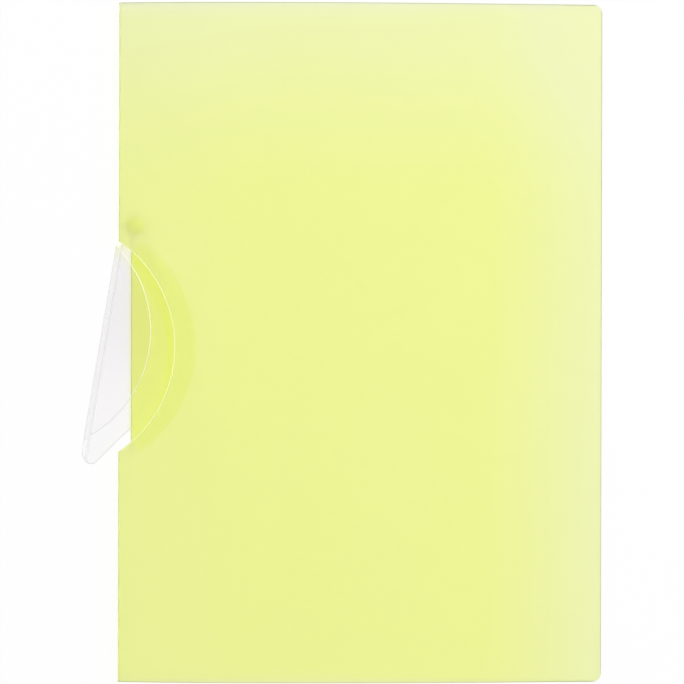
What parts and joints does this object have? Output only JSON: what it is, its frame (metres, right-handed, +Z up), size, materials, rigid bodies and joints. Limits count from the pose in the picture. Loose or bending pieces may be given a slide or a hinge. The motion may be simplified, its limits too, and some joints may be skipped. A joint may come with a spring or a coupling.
{
  "type": "clip folder",
  "caption": "Frosted A4 report folder: the front cover lifts on its spine crease, and a clear half-moon clip swings on a stud to grip loose sheets at the spine.",
  "frame": {"origin": "middle of the back cover's underside, on the surface that the closed folder lies on", "axes": "+X from the spine to the fore edge, +Y up the page, +Z up through the front cover"},
  "size_m": [0.238, 0.31, 0.0111],
  "materials": {
    "frosted_sheet": "frosted translucent lime sheet",
    "clear_plastic": "clear, glossy, moulded",
    "tinted_plastic": "lime, satin, moulded"
  },
  "bodies": {
    "back": {"back_cover": "frosted_sheet", "pivot_stud": "tinted_plastic", "stud_cap": "tinted_plastic"},
    "front": {"front_cover": "frosted_sheet"},
    "clip": {"pivot_clip": "clear_plastic"}
  },
  "joints": [
    {"name": "cover_hinge", "type": "hinge", "parent": "back", "child": "front", "pos_m": [-0.1105, 0, 0.0073], "axis": [0, -1, 0], "range_deg": [0, 170]},
    {"name": "clip_swing", "type": "hinge", "parent": "back", "child": "clip", "pos_m": [-0.10315, 0.0533, 0], "axis": [0, 0, -1], "range_deg": [-9.45, 80.55]}
  ]
}
